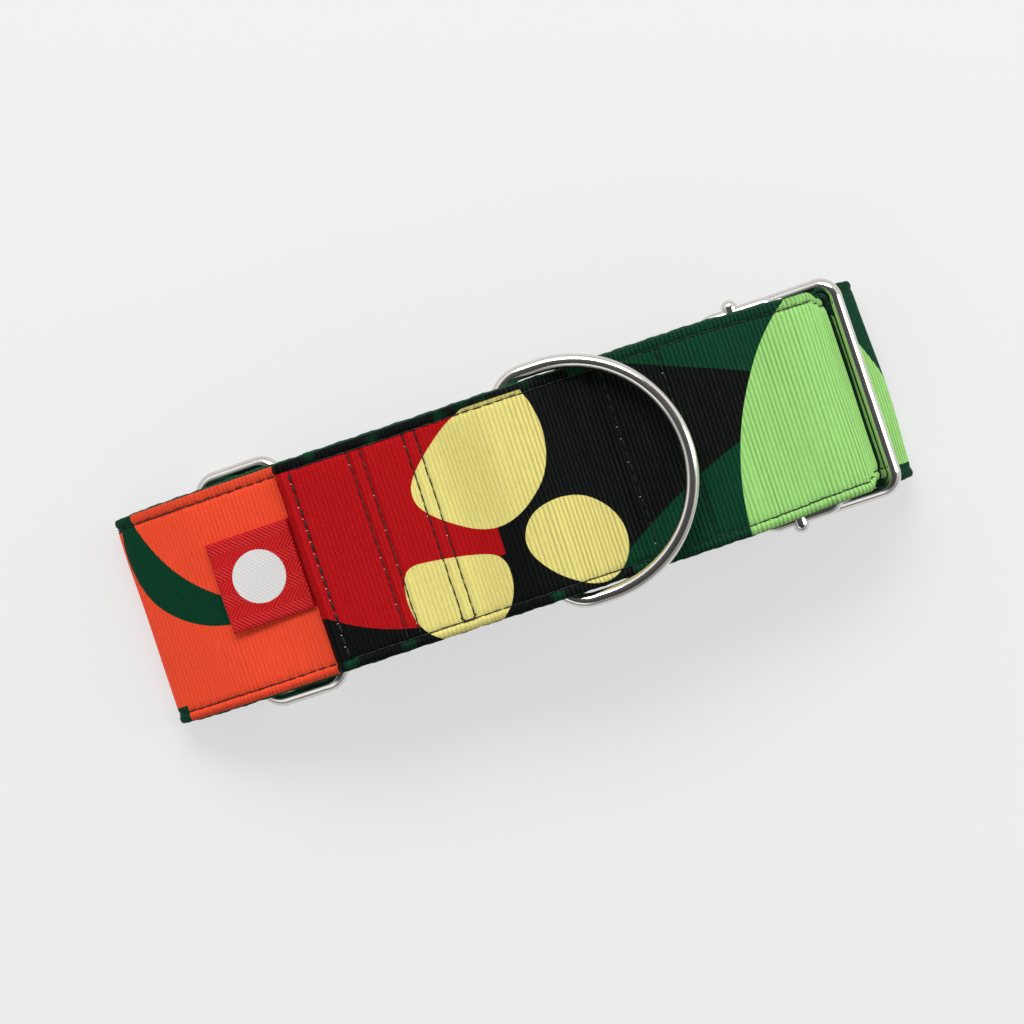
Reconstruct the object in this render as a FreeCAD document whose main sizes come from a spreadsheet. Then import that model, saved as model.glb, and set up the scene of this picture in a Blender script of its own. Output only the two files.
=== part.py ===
import FreeCAD, Part

import math
import os

import Sketcher

"""Martingale collar with a 50 mm strap, lying flat with its front up.

The wide control loop is one laminated strap (webbing with a printed cover) that is closed
by lapping its two ends at the front, where the bar of the D-ring is held between them.
It passes once through a ring at each side. The neck band joins the two rings, is adjusted
by a slider, and lies folded inside the loop. X runs along the strap, Y across it, Z is up
and z = 0 is the surface that the collar lies on.
"""

DIMENSIONS = {
    "strap_width": 50.0,
    "strap_half": 1.2,
    "cover_thick": 0.9,
    "ring_pass_width": 43.4,
    "ring_pass_start": 77.0,
    "band_width": 41.0,
    "band_half": 0.8,
    "band_cover": 0.5,
    "thread_wide": 0.5,
    "thread_proud": 0.3,
    "band_thread_proud": 0.2,
    "edge_row_offset": 22.7,
    "left_row_long": 43.0,
    "front_row_long": 127.0,
    "front_row_gap": 3.0,
    "band_row_offset": 18.6,
    "seam_long": 45.0,
    "lap_height": 27.4,
    "fold_radius": 4.0,
    "left_fold_x": -85.0,
    "right_fold_x": 85.4,
    "lap_bend_radius": 14.0,
    "left_brow_x": -44.0,
    "left_slope_x": -63.4,
    "left_slope_radius": 20.0,
    "floor_bend_x": -36.0,
    "floor_bend_radius": 12.0,
    "right_brow_x": 69.5,
    "right_brow_radius": 12.0,
    "step_foot_x": 64.0,
    "step_head_x": 50.0,
    "lap_end_left": -50.4,
    "lap_end_right": 45.0,
    "wire": 3.4,
    "left_ring_wide": 57.5,
    "left_ring_long": 24.0,
    "left_ring_corner": 4.6,
    "left_ring_tilt": 21.5,
    "left_ring_bar_x": -50.0,
    "left_ring_play": 3.0,
    "left_ring_bar_z": 9.3,
    "right_ring_wide": 53.0,
    "right_ring_long": 22.8,
    "right_ring_corner": 3.6,
    "right_ring_tilt": 22.5,
    "right_ring_bar_x": 67.48,
    "right_ring_bar_z": 10.68,
    "d_ring_radius": 27.3,
    "d_ring_corner": 8.3,
    "d_ring_arm": 12.0,
    "d_ring_tilt": 9.0,
    "d_ring_bar_x": 2.6,
    "d_ring_bar_z": 30.4,
    "pocket_half": 2.9,
    "pocket_rise": 0.5,
    "pocket_foot": 15.9,
    "pocket_foot_radius": 8.0,
    "pocket_notch": 13.0,
    "pocket_notch_y": 21.5,
    "slider_wire": 3.2,
    "slider_wide": 52.8,
    "slider_long": 20.8,
    "slider_corner": 3.0,
    "slider_x": 62.7,
    "slider_z": 16.9,
    "slider_bar_x": 61.4,
    "slider_bar_wire": 2.4,
    "slider_bar_long": 56.6,
    "slider_nub_wire": 3.8,
    "slider_nub_long": 3.6,
    "label_wide": 21.5,
    "label_long": 19.6,
    "label_thick": 0.6,
    "label_gap": 0.3,
    "label_centre_y": 1.95,
}

os.makedirs("parts", exist_ok=True)
doc = FreeCAD.newDocument("martingale_collar")

sheet = doc.addObject("Spreadsheet::Sheet", "Dimensions")
for row, (alias, value) in enumerate(DIMENSIONS.items(), start=1):
    sheet.set(f"A{row}", alias)
    sheet.set(f"B{row}", str(value))
    sheet.setAlias(f"B{row}", alias)
doc.recompute()


def size(alias):
    """A driving dimension, read from the sheet."""
    return float(sheet.get(alias))


# ---------------------------------------------------------------- routes of the straps
# A strap is routed like a belt over pins. A pin is (x, z, radius, turn): the strap's middle
# line bends round it, counterclockwise for turn +1 and clockwise for turn -1, seen with X to
# the right and Z up. The first and last pins have no radius: they are the strap's ends.

def belt(pins):
    """The strap's middle line as a list of straight runs and arcs."""
    headings = []
    for (x1, z1, r1, turn1), (x2, z2, r2, turn2) in zip(pins, pins[1:]):
        apart = math.hypot(x2 - x1, z2 - z1)
        lean = math.asin((turn2 * r2 - turn1 * r1) / apart)
        headings.append(math.atan2(z2 - z1, x2 - x1) - lean)

    pieces = []
    for number, heading in enumerate(headings):
        left = (-math.sin(heading), math.cos(heading))
        x1, z1, r1, turn1 = pins[number]
        x2, z2, r2, turn2 = pins[number + 1]
        begin = (x1 - turn1 * r1 * left[0], z1 - turn1 * r1 * left[1])
        finish = (x2 - turn2 * r2 * left[0], z2 - turn2 * r2 * left[1])
        pieces.append(("run", begin, finish, heading))
        if number + 1 < len(headings):
            bend = (headings[number + 1] - heading) % (2 * math.pi)
            if turn2 < 0:
                bend = bend - 2 * math.pi
            pieces.append(("arc", (x2, z2), r2, turn2, heading, bend))
    return pieces


def piece_length(piece):
    if piece[0] == "run":
        return math.dist(piece[1], piece[2])
    return piece[2] * abs(piece[5])


def piece_part(piece, low, high):
    """The stretch of a run or an arc between two lengths from its start."""
    whole = piece_length(piece)
    if piece[0] == "run":
        kind, begin, finish, heading = piece
        ends = []
        for along in (low, high):
            share = along / whole
            x = begin[0] + share * (finish[0] - begin[0])
            z = begin[1] + share * (finish[1] - begin[1])
            ends.append((x, z))
        return (kind, ends[0], ends[1], heading)
    kind, centre, radius, turn, heading, bend = piece
    return (kind, centre, radius, turn, heading + bend * low / whole, bend * (high - low) / whole)


def stretch(route, start, end):
    """The part of a route between two lengths from its start."""
    kept = []
    passed = 0.0
    for piece in route:
        whole = piece_length(piece)
        low = max(start - passed, 0.0)
        high = min(end - passed, whole)
        if high - low > 0.01:
            kept.append(piece_part(piece, low, high))
        passed += whole
    return kept


def route_length(route):
    return sum(piece_length(piece) for piece in route)


def station(route, x):
    """The length along a route at which its last straight run past x reaches x."""
    found = None
    passed = 0.0
    for piece in route:
        whole = piece_length(piece)
        if piece[0] == "run":
            start_x, end_x = piece[1][0], piece[2][0]
            if min(start_x, end_x) <= x <= max(start_x, end_x):
                found = passed + whole * (x - start_x) / (end_x - start_x)
        passed += whole
    return found


def side_point(piece, offset, at_end):
    """A point beside the route, offset to its left, at the start or the end of a piece."""
    if piece[0] == "run":
        point = piece[2] if at_end else piece[1]
        heading = piece[3]
        return (point[0] - offset * math.sin(heading), point[1] + offset * math.cos(heading))
    _, centre, radius, turn, heading, bend = piece
    angle = heading + (bend if at_end else 0.0)
    reach = turn * radius - offset
    return (centre[0] + reach * math.sin(angle), centre[1] - reach * math.cos(angle))


def side_edges(route, offset):
    """Sketch geometry for the line that runs beside a route at an offset."""
    edges = []
    for piece in route:
        begin = FreeCAD.Vector(*side_point(piece, offset, False), 0)
        finish = FreeCAD.Vector(*side_point(piece, offset, True), 0)
        if piece[0] == "run":
            edges.append(Part.LineSegment(begin, finish))
        else:
            middle_piece = piece_part(piece, 0.0, piece_length(piece) / 2)
            middle = FreeCAD.Vector(*side_point(middle_piece, offset, True), 0)
            edges.append(Part.Arc(begin, middle, finish))
    return edges


def layer_outline(route, low, high):
    """The closed outline of a layer between two offsets from a route."""
    outline = side_edges(route, low)
    outline += side_edges(route, high)
    for piece, at_end in ((route[0], False), (route[-1], True)):
        corners = [FreeCAD.Vector(*side_point(piece, offset, at_end), 0) for offset in (low, high)]
        outline.append(Part.LineSegment(*corners))
    return outline


# ---------------------------------------------------------------- document helpers

def new_body(label):
    body = doc.addObject("PartDesign::Body", label)
    body.Label = label
    return body


def new_sketch(body, name, plane):
    sketch = body.newObject("Sketcher::SketchObject", name)
    origin_plane = next(feature for feature in body.Origin.OriginFeatures if feature.Role == plane)
    sketch.AttachmentSupport = [(origin_plane, "")]
    sketch.MapMode = "FlatFace"
    return sketch


def strap_layer(label, route, low, high, width, side=0.0):
    """One layer of a strap: an outline in the XZ plane, padded evenly about a line at Y = side."""
    body = new_body(label)
    sketch = new_sketch(body, label + "_outline", "XZ_Plane")
    sketch.addGeometry(layer_outline(route, low, high), False)
    pad = body.newObject("PartDesign::Pad", label + "_pad")
    pad.Profile = sketch
    pad.Midplane = True
    pad.setExpression("Length", f"Dimensions.{width}")
    if side:
        sign = "" if side > 0 else "-"
        alias = "edge_row_offset" if label.startswith("control") else "band_row_offset"
        body.setExpression("Placement.Base.y", f"{sign}Dimensions.{alias}")
    return body


def narrow_at_ring(body, label):
    """Cut both edges of a strap back where it is gathered to pass through the right ring."""
    sketch = new_sketch(body, label + "_gather", "XY_Plane")
    start = size("ring_pass_start")
    end = size("right_fold_x") + 10
    half = size("ring_pass_width") / 2
    outside = size("strap_width") / 2 + 5
    for side in (-1, 1):
        draw_rectangle(sketch, (start, end), (side * half, side * outside))
    doc.recompute()
    pocket = body.newObject("PartDesign::Pocket", label + "_gather_cut")
    pocket.Profile = sketch
    pocket.Type = "ThroughAll"
    pocket.Midplane = True


def notch_at_d_ring(body, label):
    """Cut back both edges of the front layer where the D-ring's corners swing out of the pocket."""
    sketch = new_sketch(body, label + "_notch", "XY_Plane")
    offset = FreeCAD.Vector(0, 0, size("lap_height") + size("strap_half"))
    sketch.AttachmentOffset = FreeCAD.Placement(offset, FreeCAD.Rotation())
    middle = size("d_ring_bar_x")
    half = size("pocket_notch") / 2
    for side in (-1, 1):
        draw_rectangle(sketch, (middle - half, middle + half), (side * size("pocket_notch_y"), side * 30.0))
    doc.recompute()
    pocket = body.newObject("PartDesign::Pocket", label + "_notch_cut")
    pocket.Profile = sketch
    pocket.Type = "ThroughAll"
    pocket.Reversed = True


def draw_rectangle(sketch, x_range, y_range):
    corners = [(x_range[0], y_range[0]), (x_range[1], y_range[0])]
    corners += [(x_range[1], y_range[1]), (x_range[0], y_range[1])]
    for first, second in zip(corners, corners[1:] + corners[:1]):
        sketch.addGeometry(Part.LineSegment(FreeCAD.Vector(*first, 0), FreeCAD.Vector(*second, 0)))


def bind_radius(sketch, edge, name, expression, value):
    index = sketch.addConstraint(Sketcher.Constraint("Radius", edge, value))
    sketch.renameConstraint(index, name)
    sketch.setExpression(f"Constraints.{name}", expression)


def bind_distance(sketch, kind, ends, name, expression, value):
    index = sketch.addConstraint(Sketcher.Constraint(kind, *ends, value))
    sketch.renameConstraint(index, name)
    sketch.setExpression(f"Constraints.{name}", expression)


def wire_section(body, label, wire):
    """The wire's round section, in the XZ plane, centred on the body's origin."""
    sketch = new_sketch(body, label + "_section", "XZ_Plane")
    sketch.addGeometry(Part.Circle(FreeCAD.Vector(0, 0, 0), FreeCAD.Vector(0, 0, 1), 1.0))
    sketch.addConstraint(Sketcher.Constraint("Coincident", 0, 3, -1, 1))
    bind_radius(sketch, 0, "wire_radius", f"Dimensions.{wire} / 2", 1.0)
    return sketch


def sweep_wire(body, label, section, spine):
    doc.recompute()
    pipe = body.newObject("PartDesign::AdditivePipe", label + "_wire")
    pipe.Profile = section
    pipe.Spine = spine
    doc.recompute()
    return pipe


def rounded_rectangle(sketch, long_side, across, corner):
    """A fully constrained rounded rectangle. One short side lies on the sketch's Y axis and the
    other at X = -long_side. The arguments are expressions of the sheet."""
    near, far, half, radius = 0.0, -20.0, 20.0, 3.0
    lines = [((near, -half + radius), (near, half - radius)), ((near - radius, half), (far + radius, half)),
             ((far, half - radius), (far, -half + radius)), ((far + radius, -half), (near - radius, -half))]
    for begin, finish in lines:
        sketch.addGeometry(Part.LineSegment(FreeCAD.Vector(*begin, 0), FreeCAD.Vector(*finish, 0)))
    corners = [(near - radius, half - radius, 0), (far + radius, half - radius, 90),
               (far + radius, -half + radius, 180), (near - radius, -half + radius, 270)]
    for x, y, angle in corners:
        circle = Part.Circle(FreeCAD.Vector(x, y, 0), FreeCAD.Vector(0, 0, 1), radius)
        sketch.addGeometry(Part.ArcOfCircle(circle, math.radians(angle), math.radians(angle + 90)))
    for number in range(4):
        sketch.addConstraint(Sketcher.Constraint("Tangent", number, 2, 4 + number, 1))
        sketch.addConstraint(Sketcher.Constraint("Tangent", 4 + number, 2, (number + 1) % 4, 1))
        sketch.addConstraint(Sketcher.Constraint("Vertical" if number % 2 == 0 else "Horizontal", number))
    for number in range(5, 8):
        sketch.addConstraint(Sketcher.Constraint("Equal", 4, number))
    sketch.addConstraint(Sketcher.Constraint("Symmetric", 0, 1, 0, 2, -1, 1))
    bind_radius(sketch, 4, "corner", corner, radius)
    bind_distance(sketch, "DistanceX", (2, 1, 0, 2), "reach", long_side, 20.0)
    bind_distance(sketch, "DistanceY", (3, 1, 1, 1), "across", across, 40.0)


def tilt_about_y(body, degrees, x, z):
    """Place a wire ring: its bar at (x, z), the ring turned about Y."""
    rotation = FreeCAD.Rotation(FreeCAD.Vector(0, 1, 0), degrees)
    body.Placement = FreeCAD.Placement(FreeCAD.Vector(0, 0, 0), rotation)
    body.setExpression("Placement.Base.x", f"Dimensions.{x}")
    body.setExpression("Placement.Base.z", f"Dimensions.{z}")


# ---------------------------------------------------------------- control loop

def outside_bar(ring, x_side, z_side):
    """Where a ring's outside bar lies, from its inside bar and the ring's slope."""
    slope = math.radians(size(f"{ring}_tilt"))
    reach = size(f"{ring}_long") - size("wire")
    x = size(f"{ring}_bar_x") + x_side * reach * math.cos(slope)
    z = size(f"{ring}_bar_z") + z_side * reach * math.sin(slope)
    return x, z


def control_route():
    """The loop's middle line, from the hidden end of the lap round to the folded front end."""
    half = size("strap_half")
    fold = size("fold_radius")
    lap = size("lap_height")
    top = lap + 2 * half
    lap_bend = size("lap_bend_radius")
    floor_bend = size("floor_bend_radius")
    brow = size("right_brow_radius")
    foot = size("pocket_foot_radius")
    bar_x = size("d_ring_bar_x")
    bar_z = size("d_ring_bar_z") + size("pocket_rise")
    over_bar = size("wire") / 2 + 0.1 + half
    left_bar = outside_bar("left_ring", -1, -1)
    right_bar = outside_bar("right_ring", 1, 1)
    pins = [
        (size("lap_end_right"), lap, 0.0, 1),
        (size("left_brow_x"), lap - lap_bend, lap_bend, 1),
        (size("left_slope_x"), 0.5, size("left_slope_radius"), 1),
        (size("left_fold_x"), half + fold, fold, 1),
        (*left_bar, size("wire") / 2 + size("left_ring_play") + half, -1),
        (size("floor_bend_x"), half + floor_bend, floor_bend, 1),
        (size("right_fold_x"), half + fold, fold, 1),
        (*right_bar, over_bar, -1),
        (size("right_brow_x"), lap - brow, brow, 1),
        (size("step_foot_x"), lap + lap_bend, lap_bend, -1),
        (size("step_head_x"), top - lap_bend, lap_bend, 1),
        (bar_x + size("pocket_foot"), top + foot, foot, -1),
        (bar_x + size("pocket_half"), bar_z, over_bar, 1),
        (bar_x - size("pocket_half"), bar_z, over_bar, 1),
        (bar_x - size("pocket_foot"), top + foot, foot, -1),
        (size("lap_end_left"), top, 0.0, 1),
    ]
    return belt(pins)


def control_loop():
    """The loop's two layers and the threads along its edges."""
    route = control_route()
    half = size("strap_half")
    seam = -half + size("cover_thick")
    cover = strap_layer("control_loop_cover", route, -half, seam, "strap_width")
    webbing = strap_layer("control_loop_webbing", route, seam, half, "strap_width")
    for body in (cover, webbing):
        narrow_at_ring(body, body.Label)
        notch_at_d_ring(body, body.Label)

    whole = route_length(route)
    row_start = lap_length() + 1.0
    notch = size("pocket_notch") / 2
    rows = [
        (row_start, row_start + size("left_row_long")),
        (whole - size("front_row_long"), station(route, size("d_ring_bar_x") + notch)),
        (station(route, size("d_ring_bar_x") - notch), whole - size("front_row_gap")),
    ]
    proud = -half - size("thread_proud")
    for name, side in (("near", -1), ("far", 1)):
        label = f"control_loop_{name}_edge_thread"
        threads = [strap_layer(f"{label}_{number}", stretch(route, *row), proud, -half, "thread_wide", side)
                   for number, row in enumerate(rows)]
        group_label(label, threads)
    return route


def lap_length():
    """How far the hidden end of the lap reaches in from where the front layer ends."""
    return size("lap_end_right") - size("lap_end_left")


def cross_seams():
    """The seams across the lapped front: threads that lie on the cover."""
    surface = size("lap_height") + 3 * size("strap_half")
    groups = {
        "folded_end_seam_thread": [-47.0],
        "d_ring_left_seam_threads": [-32.8, -29.8, -19.6, -16.7],
        "d_ring_right_seam_threads": [28.0, 41.7],
    }
    for label, places in groups.items():
        threads = []
        for number, place in enumerate(places):
            thread = doc.addObject("Part::Box", f"{label}_{number}")
            thread.setExpression("Length", "Dimensions.thread_wide")
            thread.setExpression("Width", "Dimensions.seam_long - 1.0")
            thread.setExpression("Height", "Dimensions.thread_proud")
            thread.Placement.Base = FreeCAD.Vector(place - size("thread_wide") / 2, 0, surface)
            thread.setExpression("Placement.Base.y", "-(Dimensions.seam_long - 1.0) / 2")
            threads.append(thread)
        group_label(label, threads)


def group_label(label, members):
    """One sub-part that holds several separate solids, or the single one given."""
    if len(members) == 1:
        members[0].Label = label
        return members[0]
    group = doc.addObject("Part::Compound", label)
    group.Label = label
    group.Links = members
    return group


def side_label(route):
    """The woven label on the sloping side, sewn in under the folded front end."""
    end = lap_length() + 0.4
    under = -size("strap_half") - size("label_gap")
    piece = stretch(route, end, end + size("label_long"))
    body = strap_layer("side_label", piece, under - size("label_thick"), under, "label_wide")
    body.setExpression("Placement.Base.y", "Dimensions.label_centre_y")


# ---------------------------------------------------------------- neck band

def band_route():
    """The neck band's middle line: from its sewn tail round the left ring's inside bar, along
    three folded passes, through the slider, round the right ring's inside bar and back to the
    slider's centre bar."""
    half = size("band_half")
    wire = size("wire") / 2
    floor = 2 * size("strap_half") + half
    tail = floor + 2 * half
    second = floor + 4.8
    third = second + 5.2
    slider_x = size("slider_x")
    slider_z = size("slider_z")
    frame_bar = (size("slider_long") - size("slider_wire")) / 2
    round_frame = size("slider_wire") / 2 + 0.1 + half
    round_ring = wire + 0.1 + half
    round_bar = size("slider_bar_wire") / 2 + 0.1 + half
    bar_x = size("slider_bar_x")
    pins = [
        (-16.0, tail, 0.0, 1),
        (-33.0, tail + 10.0, 10.0, -1),
        (size("left_ring_bar_x"), size("left_ring_bar_z"), round_ring, 1),
        (-36.0, floor + 10.0, 10.0, 1),
        (50.0, (floor + second) / 2, (second - floor) / 2, 1),
        (-26.0, (second + third) / 2, (third - second) / 2, -1),
        (slider_x - frame_bar, slider_z, round_frame, 1),
        (bar_x, slider_z, round_bar + 2 * half + 0.1, -1),
        (size("right_ring_bar_x"), size("right_ring_bar_z"), round_ring, -1),
        (bar_x, slider_z, round_bar, -1),
        (bar_x + round_bar, slider_z - 2.4, 0.0, 1),
    ]
    return belt(pins)


def neck_band():
    route = band_route()
    half = size("band_half")
    seam = half - size("band_cover")
    strap_layer("neck_band_webbing", route, -half, seam, "band_width")
    strap_layer("neck_band_cover", route, seam, half, "band_width")
    shown = stretch(route, 95.0, 290.0)
    proud = half + size("band_thread_proud")
    for name, side in (("near", -1), ("far", 1)):
        strap_layer(f"neck_band_{name}_edge_thread", shown, half, proud, "thread_wide", side)
    tail_seam = stretch(route, 3.0, 3.5)
    strap_layer("neck_band_ring_seam_thread", tail_seam, -proud, -half, "band_width")


# ---------------------------------------------------------------- hardware

def wire_ring(label, side):
    """A rectangular wire ring that turns on its inside bar."""
    name = f"{side}_ring"
    body = new_body(label)
    spine = new_sketch(body, label + "_line", "XY_Plane")
    rounded_rectangle(
        spine,
        f"Dimensions.{name}_long - Dimensions.wire",
        f"Dimensions.{name}_wide - Dimensions.wire",
        f"Dimensions.{name}_corner",
    )
    section = wire_section(body, label, "wire")
    sweep_wire(body, label, section, spine)
    tilt = size(f"{name}_tilt")
    if side == "left":
        tilt_about_y(body, -tilt, f"{name}_bar_x", f"{name}_bar_z")
    else:
        tilt_about_y(body, 180 - tilt, f"{name}_bar_x", f"{name}_bar_z")


def d_ring():
    """The leash ring: a straight bar, two small corners and a half circle."""
    body = new_body("d_ring")
    spine = new_sketch(body, "d_ring_line", "XY_Plane")
    radius = size("d_ring_radius")
    corner = size("d_ring_corner")
    arm = size("d_ring_arm")
    straight = radius - corner
    spine.addGeometry(Part.LineSegment(FreeCAD.Vector(0, straight, 0), FreeCAD.Vector(0, -straight, 0)))
    spine.addGeometry(Part.LineSegment(FreeCAD.Vector(corner, -radius, 0), FreeCAD.Vector(arm, -radius, 0)))
    spine.addGeometry(Part.LineSegment(FreeCAD.Vector(arm, radius, 0), FreeCAD.Vector(corner, radius, 0)))
    arcs = [
        (corner, -straight, corner, 180, 270),
        (arm, 0, radius, 270, 450),
        (corner, straight, corner, 90, 180),
    ]
    for x, y, bend, begin, finish in arcs:
        circle = Part.Circle(FreeCAD.Vector(x, y, 0), FreeCAD.Vector(0, 0, 1), bend)
        spine.addGeometry(Part.ArcOfCircle(circle, math.radians(begin), math.radians(finish)))
    joins = [(0, 2, 3, 1), (3, 2, 1, 1), (1, 2, 4, 1), (4, 2, 2, 1), (2, 2, 5, 1), (5, 2, 0, 1)]
    for join in joins:
        spine.addConstraint(Sketcher.Constraint("Tangent", *join))
    spine.addConstraint(Sketcher.Constraint("Vertical", 0))
    spine.addConstraint(Sketcher.Constraint("Symmetric", 0, 1, 0, 2, -1, 1))
    spine.addConstraint(Sketcher.Constraint("Equal", 3, 5))
    bind_radius(spine, 4, "bow", "Dimensions.d_ring_radius", radius)
    bind_radius(spine, 3, "corner", "Dimensions.d_ring_corner", corner)
    bind_distance(spine, "DistanceX", (0, 1, 4, 3), "arm", "Dimensions.d_ring_arm", arm)
    section = wire_section(body, "d_ring", "wire")
    sweep_wire(body, "d_ring", section, spine)
    tilt_about_y(body, -size("d_ring_tilt"), "d_ring_bar_x", "d_ring_bar_z")


def slider():
    """The slider's wire frame and the centre bar whose crimped ends grip the frame."""
    body = new_body("slider_frame")
    spine = new_sketch(body, "slider_frame_line", "XY_Plane")
    rounded_rectangle(
        spine,
        "Dimensions.slider_long - Dimensions.slider_wire",
        "Dimensions.slider_wide - Dimensions.slider_wire",
        "Dimensions.slider_corner",
    )
    section = wire_section(body, "slider_frame", "slider_wire")
    sweep_wire(body, "slider_frame", section, spine)
    half_long = "(Dimensions.slider_long - Dimensions.slider_wire) / 2"
    body.setExpression("Placement.Base.x", f"Dimensions.slider_x + {half_long}")
    body.setExpression("Placement.Base.z", "Dimensions.slider_z")

    along_y = FreeCAD.Rotation(FreeCAD.Vector(1, 0, 0), -90)
    nub_middle = "(Dimensions.slider_bar_long - Dimensions.slider_nub_wire) / 2"
    pieces = []
    for name, radius, length, start in (
        ("bar", "slider_bar_wire / 2", "slider_bar_long - 2", "-Dimensions.slider_bar_long / 2 + 1"),
        ("near_nub", "slider_nub_wire / 2", "slider_nub_long / 2", f"-{nub_middle}"),
        ("far_nub", "slider_nub_wire / 2", "slider_nub_long / 2",
         f"{nub_middle} - Dimensions.slider_nub_long / 2"),
    ):
        rod = doc.addObject("Part::Cylinder", "slider_" + name)
        rod.setExpression("Radius", f"Dimensions.{radius}")
        rod.setExpression("Height", f"Dimensions.{length}")
        rod.Placement = FreeCAD.Placement(FreeCAD.Vector(0, 0, 0), along_y)
        rod.setExpression("Placement.Base.y", start)
        pieces.append(rod)
    for name, sign in (("near", "-"), ("far", "")):
        end = doc.addObject("Part::Sphere", f"slider_{name}_end")
        end.setExpression("Radius", "Dimensions.slider_nub_wire / 2")
        end.setExpression("Placement.Base.y", f"{sign}{nub_middle}")
        pieces.append(end)
    for piece in pieces:
        piece.setExpression("Placement.Base.x", "Dimensions.slider_bar_x")
        piece.setExpression("Placement.Base.z", "Dimensions.slider_z")
    centre_bar = doc.addObject("Part::MultiFuse", "slider_centre_bar")
    centre_bar.Label = "slider_centre_bar"
    centre_bar.Shapes = pieces


# ---------------------------------------------------------------- build and export

def finished_parts():
    """The objects that are sub-parts: those that no other object is made from."""
    used = set()
    for item in doc.Objects:
        if item.TypeId in ("Part::Compound", "Part::MultiFuse"):
            members = item.Links if item.TypeId == "Part::Compound" else item.Shapes
            used.update(member.Name for member in members)
    kinds = ("PartDesign::Body", "Part::Compound", "Part::MultiFuse", "Part::Box")
    return [item for item in doc.Objects if item.TypeId in kinds and item.Name not in used]


loop_route = control_loop()
cross_seams()
side_label(loop_route)
neck_band()
wire_ring("left_ring", "left")
wire_ring("right_ring", "right")
d_ring()
slider()
doc.recompute()

for item in doc.Objects:
    if "Invalid" in item.State or "Error" in item.State:
        raise RuntimeError(f"{item.Label} failed: {item.State}")
for part in finished_parts():
    if part.Shape.isNull() or not part.Shape.isValid():
        raise RuntimeError(f"{part.Label} has no valid shape")
    part.Shape.exportStep(f"parts/{part.Label}.step")
    box = part.Shape.optimalBoundingBox(False)
    spans = (("x", box.XMin, box.XMax), ("y", box.YMin, box.YMax), ("z", box.ZMin, box.ZMax))
    extent = ", ".join(f"{axis} {low:.1f}..{high:.1f}" for axis, low, high in spans)
    print(f"{part.Label}: {part.Shape.Volume:.1f} mm3, solids {len(part.Shape.Solids)}, {extent}")
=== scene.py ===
import math
import random
from collections import namedtuple

import bpy
import numpy as np
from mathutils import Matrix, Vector


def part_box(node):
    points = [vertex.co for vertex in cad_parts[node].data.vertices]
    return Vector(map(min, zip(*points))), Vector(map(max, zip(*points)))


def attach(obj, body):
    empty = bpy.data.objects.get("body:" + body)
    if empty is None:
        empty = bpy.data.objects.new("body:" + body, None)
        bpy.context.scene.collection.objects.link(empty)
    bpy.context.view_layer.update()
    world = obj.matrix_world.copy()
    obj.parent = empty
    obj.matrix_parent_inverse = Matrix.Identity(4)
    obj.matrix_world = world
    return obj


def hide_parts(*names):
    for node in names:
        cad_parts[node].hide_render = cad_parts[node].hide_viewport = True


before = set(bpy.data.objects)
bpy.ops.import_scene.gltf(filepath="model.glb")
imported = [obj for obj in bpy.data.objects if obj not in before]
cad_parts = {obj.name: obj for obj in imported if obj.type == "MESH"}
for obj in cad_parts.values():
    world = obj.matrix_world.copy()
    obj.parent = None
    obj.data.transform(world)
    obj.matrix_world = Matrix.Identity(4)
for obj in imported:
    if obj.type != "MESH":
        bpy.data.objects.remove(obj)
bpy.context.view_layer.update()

# Martingale collar lying flat, front up: X runs along the strap, Y across it and Z up.
# Lengths are in millimetres, and MM turns them into metres where a mesh is made.
MM = 0.001

# ---------------------------------------------------------------- sizes
# The control loop's strap: a printed cover sewn on webbing.
HALF_WIDTH = 25.0
HALF_THICK = 1.2
COVER_INSIDE = -0.3
HEM = 2.3
RIB_PITCH = 1.04
RIB_HEIGHT = 0.20
FRONT_DRAWN_IN = 0.9
RING_PINCH = 2.0

# The neck band's strap.
BAND_HALF = 0.8
BAND_HALF_WIDTH = 20.5
BAND_STEP = 0.52

# The hardware's wire, and how closely a strap lies round it.
WIRE = 1.7
CENTRE_BAR = 1.3
TOUCH = 0.1
SLACK = 0.45

# Where the control loop's strap bends.
LAP = 27.4
TOP = LAP + 2 * HALF_THICK
LAP_END = 45.0
LEFT_BROW = -44.0
LEFT_BROW_RADIUS = 14.0
LEFT_SLOPE = (-63.4, 0.5)
LEFT_SLOPE_RADIUS = 20.0
LEFT_FOLD = -85.0
RIGHT_FOLD = 85.4
FOLD_RADIUS = 4.0
LEFT_RING_ROOM = 3.0
FLOOR_BEND = -36.0
RIGHT_BROW = 69.5
BEND_RADIUS = 12.0
STEP_FOOT = 64.0
STEP_HEAD = 50.0
STEP_RADIUS = 14.0
D_RING_BAR = (2.6, 30.4)
POCKET_RISE = 0.5
POCKET_HEAD = 2.9
POCKET_FOOT = 15.9
POCKET_FOOT_RADIUS = 8.0
FRONT_END = -50.4
FRONT_TURN = 1.3

# Where the neck band bends.
BAND_TAIL = -16.0
BAND_TAIL_BEND = -33.0
BAND_BEND_RADIUS = 10.0
BAND_RIGHT_FOLD = 50.0
BAND_LEFT_FOLD = -26.0
BAND_SECOND_RISE = 4.8
BAND_THIRD_RISE = 5.2
SLIDER_END_BAR = 8.8
BAND_END_DROP = 2.4

# Places on the flat front: where it starts down to the right ring, and where the bar crosses.
BROW = 74.0
RING_CROSSING = 87.5

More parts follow.
